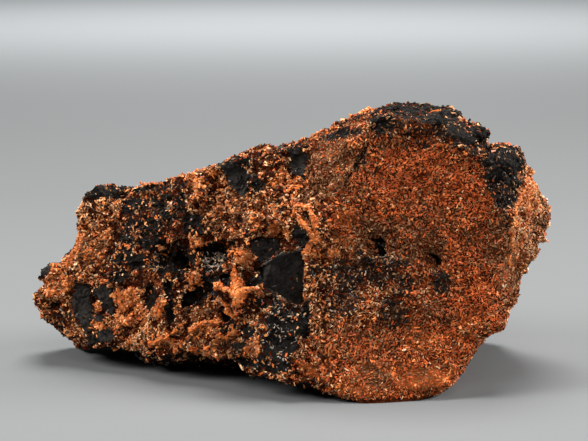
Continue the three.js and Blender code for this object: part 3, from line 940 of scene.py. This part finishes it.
# %% Choose each grain's colour
FULL_ZONE = (0.5, 1.0)
BLACK_WEIGHT = 1.6
BLACK_HIDES = 0.93
BROAD_BLACK = (0.2, 0.45)
BROAD_BLACK_HIDES = 0.8
BRIGHT_HIDES = 0.75
PEACH_HIDES = 0.6
# cause: greatest share of the grains that it leaves out, and the values where that starts and is full
LEFT_OUT = {"black": (0.9, 0.5, 0.8), "pit_shade": (0.8, 0.4, 0.9), "vein": (0.5, 0.4, 0.8)}
black = spot_zones["black"]
for name in ("orange", "red", "brown", "peach", "umber"):
    chance[name] *= (1 - BLACK_HIDES * np.clip(black, 0, 1)) ** 2
for name in ("orange", "red"):
    chance[name] *= 1 - BROAD_BLACK_HIDES * smooth_step(*BROAD_BLACK, black) * spot_broad
chance["black"] += BLACK_WEIGHT * black
peach_clears = 1 - PEACH_HIDES * smooth_step(*FULL_ZONE, spot_zones["peach"])
for name in ("black", "umber"):
    chance[name] *= (1 - BRIGHT_HIDES * smooth_step(*FULL_ZONE, vivid)) * peach_clears
chance["brown"] *= peach_clears
ladder = np.stack([chance[name] for name in GRAIN_NAMES])
picks = (ladder.cumsum(0) / ladder.sum(0) < rng.random(len(spots))).sum(0)


def picked(name):
    """True at the points that have a grain of this colour."""
    return picks == GRAIN_NAMES.index(name)


def left_out(cause, value):
    """True at the random points where this cause leaves the rock bare."""
    most, start, full = LEFT_OUT[cause]
    return rng.random(len(spots)) < most * smooth_step(start, full, value)


bare = picked("black") & left_out("black", black)
bare |= left_out("pit_shade", at_spots(pit_shade_share))
bare |= left_out("vein", at_spots(vein_share))
picks[bare] = -1
print("grains", {name: int(picked(name).sum()) for name in GRAIN_NAMES})

# %% Size and shade at each point
HIDDEN_SIZE = 1.04
FRONT_SIZE_LOSS = 0.32
BROAD_SIZE_LOSS = 0.07
CLUMP_WAVE = 1.8 * MM
CLUMP_SEED = 23.0
CLUMP_STRENGTH = 0.3
LOW_ROWS = (305, 345)
LOW_CLUMP_STRENGTH = 0.4
UMBER_SHADE = 0.35
BROAD_PEACH_LOSS = 0.2
SPREAD = 0.5
BROAD_SPREAD_LOSS = 0.2
spot_size = HIDDEN_SIZE - FRONT_SIZE_LOSS * spot_front - BROAD_SIZE_LOSS * spot_broad
low_part = smooth_step(*LOW_ROWS, at_spots(row)) * spot_broad
clump_strength = CLUMP_STRENGTH + LOW_CLUMP_STRENGTH * low_part
clump = np.exp(clump_strength * noise_at(spots, CLUMP_WAVE, CLUMP_SEED))
# Painted shade: umber grains are darker off the broad face, for the shaded gaps of the rugged part. Peach
# grains, partly painted highlights, are dimmer on the broad face.
clump *= np.where(picked("umber"), UMBER_SHADE + (1 - UMBER_SHADE) * spot_broad, 1)
clump *= np.where(picked("peach"), 1 - BROAD_PEACH_LOSS * spot_broad, 1)
spread = SPREAD - BROAD_SPREAD_LOSS * spot_broad
print("clump shade from", round(clump.min(), 2), "to", round(clump.max(), 2))

# %% [markdown]
# Crystals of one patch grew side by side, so neighbours lie in nearly the same direction. A slow noise gives
# that direction, and each grain strays from it a little. Some grains are needles, longer and flatter on the
# rock than the others. Each mesh also has a UV map with one small square for a grain, which keeps the grain's
# own tone when the finishes are baked.

# %% Size and turn of each grain
FLOW = 1.6
FLOW_WAVE = 4 * MM
FLOW_SEEDS = (101.0, 113.0, 127.0)
NEEDLE_SHARE = 0.4
NEEDLE_STRETCH = np.array([0.8, 0.8, 1.4])
# Lean out of the rock in degrees.
NEEDLE_LEAN = (-10, 12)
BLOCK_LEAN = (-15, 32)
# Width, thickness and length as shares of a grain's size.
LEAST_SIDES = (0.55, 0.5, 0.75)
MOST_SIDES = (0.95, 0.8, 1.3)
SWELL = 0.25
SWELL_ENDS = (-0.5, 0.45)
DENT = 0.13
# How far out of the rock a grain's middle lies, in tenths of its size.
SET_OUT = (-1.8, 0.8)
flow = np.stack([noise_at(spots, FLOW_WAVE, seed) for seed in FLOW_SEEDS], 1)


def grain_frames(normals, lie, needle):
    """Three axes for each grain. The third, its length, leans out of the surface, less in a needle."""
    count = len(normals)
    aside = unit(np.cross(normals, FLOW * unit(lie) + rng.normal(size=(count, 3))))
    needle_lean = rng.uniform(*NEEDLE_LEAN, (count, 1))
    block_lean = rng.uniform(*BLOCK_LEAN, (count, 1))
    lean = np.radians(np.where(needle, needle_lean, block_lean))
    length = aside * np.cos(lean) + normals * np.sin(lean)
    first = unit(np.cross(length, rng.normal(size=(count, 3))))
    return np.stack([first, np.cross(length, first), length], 2)


def grain_corners(mine, size, shape_corners):
    """Corners of the grains at these points, one row for each grain."""
    count = len(mine)
    swell = np.exp(np.clip(rng.normal(0, SWELL, (count, 1)), *SWELL_ENDS))
    sizes = size * swell * spot_size[mine][:, None] * rng.uniform(LEAST_SIDES, MOST_SIDES, (count, 3))
    needle = rng.random((count, 1)) < NEEDLE_SHARE
    sizes = np.where(needle, sizes * NEEDLE_STRETCH, sizes)
    dents = rng.uniform(-DENT, DENT, (count, len(shape_corners), 3))
    local = (shape_corners + dents) * sizes[:, None, :]
    turned = np.einsum("nij,nkj->nki", grain_frames(out[mine], flow[mine], needle), local)
    centres = spots[mine] + out[mine] * (0.1 * size * rng.uniform(*SET_OUT, (count, 1)))
    return turned + centres[:, None, :]


def grain_tones(mine, colours):
    """A colour for each of these grains, one of its kind's and lighter or darker by chance."""
    shade = clump[mine] * (1 + spread[mine] * rng.uniform(-1, 1, len(mine)))
    return colours[rng.integers(len(colours), size=len(mine))] * shade[:, None]


print("directions", flow.shape, "waves of", FLOW_WAVE / MM, "mm")

# %% Join the grains of each colour
# Size of a grain in millimetres.
GRAIN_SIZE = {
    "orange": 0.76,
    "red": 0.72,
    "brown": 0.72,
    "peach": 0.64,
    "black": 0.72,
    "pale": 0.6,
    "umber": 0.72,
}
MOST_TRIANGLES = 195_000
FLOOR_GAP = 0.02 * MM
CELL_CORNERS = np.array([[0.15, 0.15], [0.85, 0.15], [0.15, 0.85]])
most_grains = len(GRAIN_SHAPES) * MOST_TRIANGLES // sum(len(triangles) for _, triangles in GRAIN_SHAPES)


def give_each_grain_a_cell(mesh, cells, count):
    """A UV map in which all faces of a grain share one small square."""
    side = math.ceil(math.sqrt(count))
    squares = np.column_stack([cells % side, cells // side])[:, None, :]
    uv = mesh.uv_layers.new(name="OFBake")
    uv.uv.foreach_set("vector", ((squares + CELL_CORNERS) / side).astype(np.float32).ravel())


def grain_mesh(name, index, size, colours):
    """One mesh of all the grains of a colour, each with its own tone."""
    points, faces, tones, cells = [], [], [], []
    start, grain_number = 0, 0
    for shape, (shape_corners, triangles) in enumerate(GRAIN_SHAPES):
        mine = index[shape::len(GRAIN_SHAPES)]
        count = len(mine)
        points.append(grain_corners(mine, size, shape_corners).reshape(-1, 3))
        offsets = start + np.arange(count)[:, None, None] * len(shape_corners)
        faces.append((triangles + offsets).reshape(-1, 3))
        tones.append(np.repeat(grain_tones(mine, colours), len(shape_corners), 0))
        cells.append(np.repeat(grain_number + np.arange(count), len(triangles)))
        start += count * len(shape_corners)
        grain_number += count
    points, faces, tones = np.concatenate(points), np.concatenate(faces), np.concatenate(tones)
    points[:, 2] = np.maximum(points[:, 2], FLOOR_GAP)
    mesh = bpy.data.meshes.new(name)
    mesh.from_pydata(points.tolist(), [], faces.tolist())
    layer = mesh.color_attributes.new("tone", "FLOAT_COLOR", "POINT")
    opaque = np.column_stack([tones, np.ones(len(tones))])
    layer.data.foreach_set("color", opaque.astype(np.float32).ravel())
    give_each_grain_a_cell(mesh, np.concatenate(cells), grain_number)
    mesh.shade_flat()
    return mesh


grains = {}
for name, colours in PALETTE.items():
    index = np.sort(rng.permutation(np.flatnonzero(picked(name)))[:most_grains])
    mesh = grain_mesh(f"{name}_grains", index, GRAIN_SIZE[name] * MM, np.array(colours))
    grains[name] = bpy.data.objects.new(f"{name}_grains", mesh)
    bpy.context.scene.collection.objects.link(grains[name])
    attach(grains[name], "root")
    print(name, len(index), "grains,", len(mesh.polygons), "triangles")

# %% [markdown]
# ## Finishes
# Realgar is resinous: a broken grain has a soft gloss and a deep colour. The black rock is dull, with tiny
# facets that glint. One shader group, the mineral speckle, gives both their fine mottling: it puts out a
# tone and a height, and each material takes them with a scale of its own.

# %% Mineral speckle group
SPECKLE_SCALE = 900
SPECKLE_DETAIL = 4
SPECKLE_ROUGHNESS = 0.65


def speckle_group():
    """Shader group: fine mottling as a tone from 0 to 1 and a height for bump."""
    group = bpy.data.node_groups.new("mineral_speckle", "ShaderNodeTree")
    scale = group.interface.new_socket("Scale", in_out="INPUT", socket_type="NodeSocketFloat")
    scale.default_value = SPECKLE_SCALE
    for name in ("Tone", "Height"):
        group.interface.new_socket(name, in_out="OUTPUT", socket_type="NodeSocketFloat")
    nodes, links = group.nodes, group.links
    inside, outside = nodes.new("NodeGroupInput"), nodes.new("NodeGroupOutput")
    place = nodes.new("ShaderNodeTexCoord")
    clouds = nodes.new("ShaderNodeTexNoise")
    clouds.inputs["Detail"].default_value = SPECKLE_DETAIL
    clouds.inputs["Roughness"].default_value = SPECKLE_ROUGHNESS
    facets = nodes.new("ShaderNodeTexVoronoi")
    for texture in (clouds, facets):
        links.new(place.outputs["Object"], texture.inputs["Vector"])
        links.new(inside.outputs["Scale"], texture.inputs["Scale"])
    height = nodes.new("ShaderNodeMath")
    height.operation = "ADD"
    links.new(clouds.outputs["Fac"], height.inputs[0])
    links.new(facets.outputs["Distance"], height.inputs[1])
    links.new(clouds.outputs["Fac"], outside.inputs["Tone"])
    links.new(height.outputs[0], outside.inputs["Height"])
    return group


speckle = speckle_group()
print("group", speckle.name, [s.name for s in speckle.interface.items_tree])

# %% Helpers for materials
# Sockets of a Mix node that mixes colours.
MIX_FIRST = 6
MIX_SECOND = 7
MIX_RESULT = 2


def start_material(name):
    """A new material with its node tree and its Principled shader."""
    material = bpy.data.materials.new(name)
    material.use_nodes = True
    return material, material.node_tree, material.node_tree.nodes["Principled BSDF"]


def feed(tree, value, socket):
    """Links another socket to this one, or sets a plain value or colour."""
    if isinstance(value, bpy.types.NodeSocket):
        tree.links.new(value, socket)
    else:
        socket.default_value = (*value, 1) if isinstance(value, tuple) else value


def add_speckle(tree, scale):
    """The speckle group's node with this scale."""
    node = tree.nodes.new("ShaderNodeGroup")
    node.node_tree = speckle
    node.inputs["Scale"].default_value = scale
    return node


def mix_colours(tree, factor, first, second):
    """A Mix node that goes from the first colour to the second."""
    node = tree.nodes.new("ShaderNodeMix")
    node.data_type = "RGBA"
    feed(tree, factor, node.inputs["Factor"])
    feed(tree, first, node.inputs[MIX_FIRST])
    feed(tree, second, node.inputs[MIX_SECOND])
    return node.outputs[MIX_RESULT]


def ramp(tree, source, low, high, to_low=0.0, to_high=1.0):
    """Maps a value's range from low and high to two new ends."""
    node = tree.nodes.new("ShaderNodeMapRange")
    ends = {"Value": source, "From Min": low, "From Max": high, "To Min": to_low, "To Max": to_high}
    for name, value in ends.items():
        feed(tree, value, node.inputs[name])
    return node.outputs["Result"]


def read_attribute(tree, name, output):
    """A value or colour that the mesh carries."""
    node = tree.nodes.new("ShaderNodeAttribute")
    node.attribute_name = name
    return node.outputs[output]


print("a colour mix takes sockets", MIX_FIRST, "and", MIX_SECOND, "and gives socket", MIX_RESULT)

# %% [markdown]
# The rock between the grains is mixed in layers. It starts as dark brown, partly painted shade for the gaps
# between the grains, and each mask that the mesh carries puts its own colour over what is there: orange under
# bright grains, partly painted light; black rock, also painted shade under the lump and in hollows; bare
# facets; ledges in lighter grey, a painted highlight; pits in black, painted shade; and veins. A fine bump
# gives it small glints.

# %% Rock between the grains
# Painted shade, in part: the rock between the grains is dark brown for the shade in the gaps between them.
DEEP_BROWN = (0.028, 0.006, 0.002)
WARM_BROWN = (0.10, 0.022, 0.006)
VEIN_ORANGE = (0.60, 0.17, 0.045)
ROCK_BLACK = (0.005, 0.004, 0.0032)
ROCK_GREY = (0.016, 0.0135, 0.012)
SLEEK_BLACK = (0.011, 0.0095, 0.0085)
SLEEK_GREY = (0.030, 0.0265, 0.024)
# Painted highlight: ledges are lighter grey.
LEDGE_HIGHLIGHT_GREY = (0.075, 0.067, 0.060)
FINE_SCALE = 1500
COARSE_SCALE = 420
# mask: values where it starts and is full, greatest strength
MASK_RANGE = {
    "bright": (0.5, 1.0, 0.6),
    "black": (0.35, 0.65, 1.0),
    "sleek": (0.4, 0.9, 1.0),
    "ledge_highlight": (0.3, 0.9, 0.7),
    "pit_shade": (0.2, 0.8, 1.0),
    "vein": (0.2, 0.7, 1.0),
}
BROWN_TONES = (0.4, 0.65)
GREY_TONES = (0.5, 0.8)
SLEEK_TONES = (0.35, 0.65)
ROUGH_TONES = (0.35, 0.65)
ROUGH_ENDS = (0.75, 0.42)
GLOSS_ENDS = (0.02, 0.05)
BUMP_STRENGTH = 0.7
BUMP_HEIGHT = 0.25 * MM


def rock_material():
    """Brown, orange and black rock, as the masks of the mesh say."""
    material, tree, shader = start_material("realgar_and_rock")
    fine, coarse = add_speckle(tree, FINE_SCALE), add_speckle(tree, COARSE_SCALE)
    fine_tone, coarse_tone = fine.outputs["Tone"], coarse.outputs["Tone"]
    base = mix_colours(tree, ramp(tree, coarse_tone, *BROWN_TONES), DEEP_BROWN, WARM_BROWN)
    layers = {
        "bright": VEIN_ORANGE,
        "black": mix_colours(tree, ramp(tree, fine_tone, *GREY_TONES), ROCK_BLACK, ROCK_GREY),
        "sleek": mix_colours(tree, ramp(tree, coarse_tone, *SLEEK_TONES), SLEEK_BLACK, SLEEK_GREY),
        "ledge_highlight": LEDGE_HIGHLIGHT_GREY,
        "pit_shade": ROCK_BLACK,
        "vein": VEIN_ORANGE,
    }
    masks = {}
    for name, colour in layers.items():
        start, full, strength = MASK_RANGE[name]
        masks[name] = ramp(tree, read_attribute(tree, name, "Fac"), start, full, to_high=strength)
        base = mix_colours(tree, masks[name], base, colour)
    feed(tree, base, shader.inputs["Base Color"])
    feed(tree, ramp(tree, fine_tone, *ROUGH_TONES, *ROUGH_ENDS), shader.inputs["Roughness"])
    feed(tree, ramp(tree, masks["black"], 0.0, 1.0, *GLOSS_ENDS), shader.inputs["Specular IOR Level"])
    bump = tree.nodes.new("ShaderNodeBump")
    bump.inputs["Strength"].default_value = BUMP_STRENGTH
    bump.inputs["Distance"].default_value = BUMP_HEIGHT
    feed(tree, fine.outputs["Height"], bump.inputs["Height"])
    feed(tree, bump.outputs["Normal"], shader.inputs["Normal"])
    return material


rock_mesh.materials.append(rock_material())
print("rock finish", rock_mesh.materials[0].name)

# %% [markdown]
# Seven colours of grains have the same finish: the tone that each grain carries, mottled by the speckle, and
# a roughness between two ends. So this is one shader group too, and each material keeps its own Principled
# shader.

# %% Crystal surface group
CRYSTAL_SCALE = 1100
MOTTLE_TONES = (0.3, 0.7)
MOTTLE_SHADES = (0.65, 1.2)


def crystal_group():
    """Shader group: a grain's mottled colour and its roughness."""
    group = bpy.data.node_groups.new("crystal_surface", "ShaderNodeTree")
    for name, kind in (("Tone", "Color"), ("Smooth", "Float"), ("Dull", "Float")):
        group.interface.new_socket(name, in_out="INPUT", socket_type=f"NodeSocket{kind}")
    for name, kind in (("Colour", "Color"), ("Roughness", "Float")):
        group.interface.new_socket(name, in_out="OUTPUT", socket_type=f"NodeSocket{kind}")
    inside, outside = group.nodes.new("NodeGroupInput"), group.nodes.new("NodeGroupOutput")
    tone = add_speckle(group, CRYSTAL_SCALE).outputs["Tone"]
    scaled = group.nodes.new("ShaderNodeVectorMath")
    scaled.operation = "SCALE"
    feed(group, inside.outputs["Tone"], scaled.inputs[0])
    feed(group, ramp(group, tone, *MOTTLE_TONES, *MOTTLE_SHADES), scaled.inputs["Scale"])
    feed(group, scaled.outputs["Vector"], outside.inputs["Colour"])
    rough_ends = (inside.outputs["Smooth"], inside.outputs["Dull"])
    feed(group, ramp(group, tone, *MOTTLE_TONES, *rough_ends), outside.inputs["Roughness"])
    return group


crystal = crystal_group()
print("group", crystal.name, [s.name for s in crystal.interface.items_tree])

# %% Grain finishes
# name: least and greatest roughness, glow under the surface, strength of the gloss
GRAIN_FINISH = {
    "orange": (0.30, 0.55, 0.10, 0.16),
    "red": (0.30, 0.55, 0.10, 0.10),
    "brown": (0.38, 0.65, 0.04, 0.04),
    "peach": (0.28, 0.50, 0.10, 0.20),
    "black": (0.30, 0.62, 0.0, 0.06),
    "pale": (0.30, 0.55, 0.05, 0.15),
    "umber": (0.45, 0.70, 0.04, 0.02),
}
GLOW_RADIUS = (0.6, 0.2, 0.08)
GLOW_DEPTH = 0.4 * MM


def grain_material(name, smooth, dull, glow, gloss):
    """Grains take their colour from their tone, and their roughness from the speckle."""
    material, tree, shader = start_material(f"{name}_crystals")
    surface = tree.nodes.new("ShaderNodeGroup")
    surface.node_tree = crystal
    feed(tree, read_attribute(tree, "tone", "Color"), surface.inputs["Tone"])
    feed(tree, smooth, surface.inputs["Smooth"])
    feed(tree, dull, surface.inputs["Dull"])
    feed(tree, surface.outputs["Colour"], shader.inputs["Base Color"])
    feed(tree, surface.outputs["Roughness"], shader.inputs["Roughness"])
    shader.inputs["Specular IOR Level"].default_value = gloss
    shader.inputs["Subsurface Weight"].default_value = glow
    shader.inputs["Subsurface Radius"].default_value = GLOW_RADIUS
    shader.inputs["Subsurface Scale"].default_value = GLOW_DEPTH
    return material


for name, finish in GRAIN_FINISH.items():
    grains[name].data.materials.append(grain_material(name, *finish))
print("grain finishes", [g.data.materials[0].name for g in grains.values()])

# %% [markdown]
# ## Floor and light
# The floor is plain and pale. The light is soft: a large panel above and a little behind, one at each side,
# which makes the right edge and the tail glow, a weak one in front and a weak sky that fills the shadows. One
# more panel, far behind, lights only the floor that is seen above the lump.

# %% Floor
FLOOR_HALF = 4.0
FLOOR_COLOUR = (0.112, 0.119, 0.122)
FLOOR_ROUGHNESS = 0.8
floor_bm = bmesh.new()
bmesh.ops.create_grid(floor_bm, x_segments=8, y_segments=8, size=FLOOR_HALF)
floor_mesh = bpy.data.meshes.new("floor")
floor_bm.to_mesh(floor_mesh)
floor_bm.free()
floor = bpy.data.objects.new("floor", floor_mesh)
bpy.context.scene.collection.objects.link(floor)
floor_material, floor_tree, floor_shader = start_material("pale_floor")
feed(floor_tree, FLOOR_COLOUR, floor_shader.inputs["Base Color"])
feed(floor_tree, FLOOR_ROUGHNESS, floor_shader.inputs["Roughness"])
floor_mesh.materials.append(floor_material)
print("floor", floor_mesh.name)

# %% Lights
LUMP_MIDDLE = (0.0, 0.0, 0.03)
FLOOR_BEHIND = (0.0, 2.3, 0.0)
# name: place, target, panel size in metres, power in watts, colour
PANELS = {
    "overhead": ((0.00, 0.22, 0.82), LUMP_MIDDLE, 0.45, 15.4, (1.0, 0.98, 0.96)),
    "right": ((0.66, 0.02, 0.36), LUMP_MIDDLE, 0.30, 8.8, (1.0, 0.97, 0.94)),
    "left": ((-0.62, -0.15, 0.42), LUMP_MIDDLE, 0.30, 7.5, (1.0, 0.97, 0.94)),
    "front": ((0.10, -0.75, 0.75), LUMP_MIDDLE, 0.50, 4.3, (1.0, 0.98, 0.96)),
    "far": ((0.00, 1.50, 1.00), FLOOR_BEHIND, 1.20, 75.0, (1.0, 1.0, 1.0)),
}
SKY = (0.90, 0.95, 1.0, 1)
SKY_STRENGTH = 0.06
for name, (place, target, size, power, colour) in PANELS.items():
    panel = bpy.data.lights.new(f"{name}_panel", "AREA")
    panel.shape = "SQUARE"
    panel.size = size
    panel.energy = power
    panel.color = colour
    holder = bpy.data.objects.new(f"{name}_panel", panel)
    holder.location = place
    holder.rotation_euler = (Vector(target) - Vector(place)).to_track_quat("-Z", "Y").to_euler()
    bpy.context.scene.collection.objects.link(holder)
world = bpy.data.worlds.new("soft_sky")
world.use_nodes = True
world.node_tree.nodes["Background"].inputs["Color"].default_value = SKY
world.node_tree.nodes["Background"].inputs["Strength"].default_value = SKY_STRENGTH
bpy.context.scene.world = world
bpy.context.scene.view_settings.view_transform = "Standard"
print("panels", list(PANELS))

# %% [markdown]
# ## Triangles in all
# The grains stand a little out of the solid. The last cell prints how many triangles the rock and the
# grains have in all.

# %% Count the triangles
print("triangles in all", len(rock_mesh.polygons) + sum(len(g.data.polygons) for g in grains.values()))
